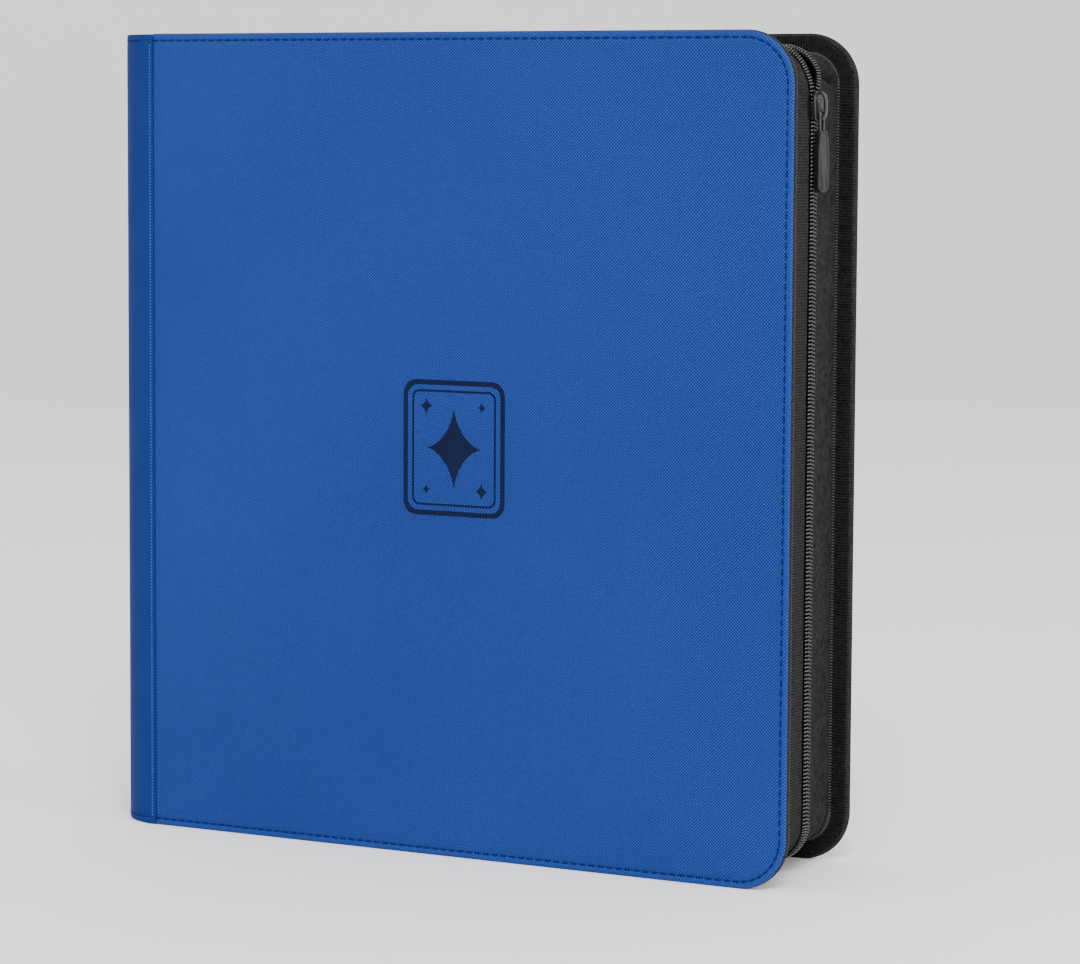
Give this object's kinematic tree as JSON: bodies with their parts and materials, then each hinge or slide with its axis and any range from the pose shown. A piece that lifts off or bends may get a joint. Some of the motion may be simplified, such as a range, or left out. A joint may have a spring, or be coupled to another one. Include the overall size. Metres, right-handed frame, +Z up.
{
  "type": "zippered ring binder for trading cards",
  "caption": "Upright zippered three-ring binder for trading cards, with stiff blue covers, a coil zipper round three sides and black pocket pages inside.",
  "frame": {"origin": "middle of the base, on the surface that the binder stands on", "axes": "+Z up along the spine, +X from the spine to the opening edge, -Y out of the front cover"},
  "size_m": [0.317, 0.07, 0.34],
  "materials": {
    "skin": "blue synthetic leather with a fine woven grain",
    "spine": "smoother, darker blue synthetic leather",
    "foam": "thin white padding foam",
    "board": "grey-brown stiffener board",
    "lining": "smooth black woven lining",
    "binding": "ribbed black grosgrain binding",
    "tape": "charcoal woven zipper tape",
    "coil": "black nylon coil",
    "steel": "nickel-plated steel",
    "slider": "dark grey painted zinc",
    "page": "black page with clear pockets"
  },
  "bodies": {
    "spine": {"spine_skin": "spine", "front_fold_skin": "spine", "back_fold_skin": "spine", "spine_board": "board", "spine_lining": "lining", "ring_cover_plate": "steel", "ring_rivet_top": "steel", "ring_rivet_bottom": "steel", "zipper_end_tab_top": "tape", "zipper_end_tab_bottom": "tape"},
    "front_cover": {"front_cover_skin": "skin", "front_cover_foam": "foam", "front_cover_board": "board", "front_cover_lining": "lining", "front_cover_edge_binding": "binding", "front_zipper_tape": "tape", "front_zipper_coil": "coil", "front_zipper_stop": "slider"},
    "back_cover": {"back_cover_skin": "skin", "back_cover_foam": "foam", "back_cover_board": "board", "back_cover_lining": "lining", "back_cover_edge_binding": "binding", "back_zipper_tape": "tape", "back_zipper_coil": "coil", "back_zipper_stop": "slider"},
    "front_rings": {"front_hinge_plate": "steel", "front_ring_1": "steel", "front_ring_2": "steel", "front_ring_3": "steel"},
    "back_rings": {"back_hinge_plate": "steel", "back_ring_1": "steel", "back_ring_2": "steel", "back_ring_3": "steel"},
    "lever_top": {"lever_top": "steel"},
    "lever_bottom": {"lever_bottom": "steel"},
    "slider": {"slider_body": "slider"},
    "pull": {"pull_link": "slider", "pull_tab": "slider"},
    "page_1": {"page_1": "page"},
    "page_2": {"page_2": "page"},
    "page_3": {"page_3": "page"},
    "page_4": {"page_4": "page"},
    "page_5": {"page_5": "page"},
    "page_6": {"page_6": "page"},
    "page_7": {"page_7": "page"},
    "page_8": {"page_8": "page"}
  },
  "joints": [
    {"name": "front_cover_hinge", "type": "hinge", "parent": "spine", "child": "front_cover", "pos_m": [-0.1539, -0.0304, 0.17], "axis": [0, 0, -1], "range_deg": [0, 100], "deforming": ["front_fold_skin", "front_zipper_coil"]},
    {"name": "back_cover_hinge", "type": "hinge", "parent": "spine", "child": "back_cover", "pos_m": [-0.1539, 0.0304, 0.17], "axis": [0, 0, 1], "range_deg": [0, 100], "deforming": ["back_fold_skin", "back_zipper_coil"]},
    {"name": "lever_top_hinge", "type": "hinge", "parent": "spine", "child": "lever_top", "pos_m": [-0.1522, 0, 0.303], "axis": [0, -1, 0], "range_deg": [0, 20]},
    {"name": "lever_bottom_hinge", "type": "hinge", "parent": "spine", "child": "lever_bottom", "pos_m": [-0.1522, 0, 0.037], "axis": [0, 1, 0], "range_deg": [0, 20]},
    {"name": "front_ring_hinge", "type": "hinge", "parent": "spine", "child": "front_rings", "pos_m": [-0.1524, -0.0118, 0.17], "axis": [0, 0, -1], "range_deg": [0, 8]},
    {"name": "back_ring_hinge", "type": "hinge", "parent": "spine", "child": "back_rings", "pos_m": [-0.1524, 0.0118, 0.17], "axis": [0, 0, 1], "range_deg": [0, 8]},
    {"name": "slider_travel", "type": "slide", "parent": "back_cover", "child": "slider", "axis": [0, 0, 1], "range_m": [-0.273, 0.0025]},
    {"name": "pull_hinge", "type": "hinge", "parent": "slider", "child": "pull", "pos_m": [0.15605, 0, 0.309], "axis": [0, -1, 0], "range_deg": [0, 120]},
    {"name": "page_1_hinge", "type": "hinge", "parent": "spine", "child": "page_1", "pos_m": [-0.128, 0, 0.17], "axis": [0, 0, -1], "range_deg": [0, 86]},
    {"name": "page_2_hinge", "type": "hinge", "parent": "spine", "child": "page_2", "pos_m": [-0.128, 0, 0.17], "axis": [0, 0, -1], "range_deg": [0, 82]},
    {"name": "page_3_hinge", "type": "hinge", "parent": "spine", "child": "page_3", "pos_m": [-0.128, 0, 0.17], "axis": [0, 0, -1], "range_deg": [0, 78]},
    {"name": "page_4_hinge", "type": "hinge", "parent": "spine", "child": "page_4", "pos_m": [-0.128, 0, 0.17], "axis": [0, 0, -1], "range_deg": [0, 74]},
    {"name": "page_5_hinge", "type": "hinge", "parent": "spine", "child": "page_5", "pos_m": [-0.128, 0, 0.17], "axis": [0, 0, 1], "range_deg": [0, 74]},
    {"name": "page_6_hinge", "type": "hinge", "parent": "spine", "child": "page_6", "pos_m": [-0.128, 0, 0.17], "axis": [0, 0, 1], "range_deg": [0, 78]},
    {"name": "page_7_hinge", "type": "hinge", "parent": "spine", "child": "page_7", "pos_m": [-0.128, 0, 0.17], "axis": [0, 0, 1], "range_deg": [0, 82]},
    {"name": "page_8_hinge", "type": "hinge", "parent": "spine", "child": "page_8", "pos_m": [-0.128, 0, 0.17], "axis": [0, 0, 1], "range_deg": [0, 86]}
  ],
  "couplings": [
    {"joint": "lever_bottom_hinge", "follows": "lever_top_hinge", "ratio": 1},
    {"joint": "front_ring_hinge", "follows": "lever_top_hinge", "ratio": 0.4},
    {"joint": "back_ring_hinge", "follows": "lever_top_hinge", "ratio": 0.4},
    {"joint": "page_1_hinge", "follows": "front_cover_hinge", "ratio": 0.86},
    {"joint": "page_2_hinge", "follows": "front_cover_hinge", "ratio": 0.82},
    {"joint": "page_3_hinge", "follows": "front_cover_hinge", "ratio": 0.78},
    {"joint": "page_4_hinge", "follows": "front_cover_hinge", "ratio": 0.74},
    {"joint": "page_5_hinge", "follows": "back_cover_hinge", "ratio": 0.74},
    {"joint": "page_6_hinge", "follows": "back_cover_hinge", "ratio": 0.78},
    {"joint": "page_7_hinge", "follows": "back_cover_hinge", "ratio": 0.82},
    {"joint": "page_8_hinge", "follows": "back_cover_hinge", "ratio": 0.86}
  ]
}
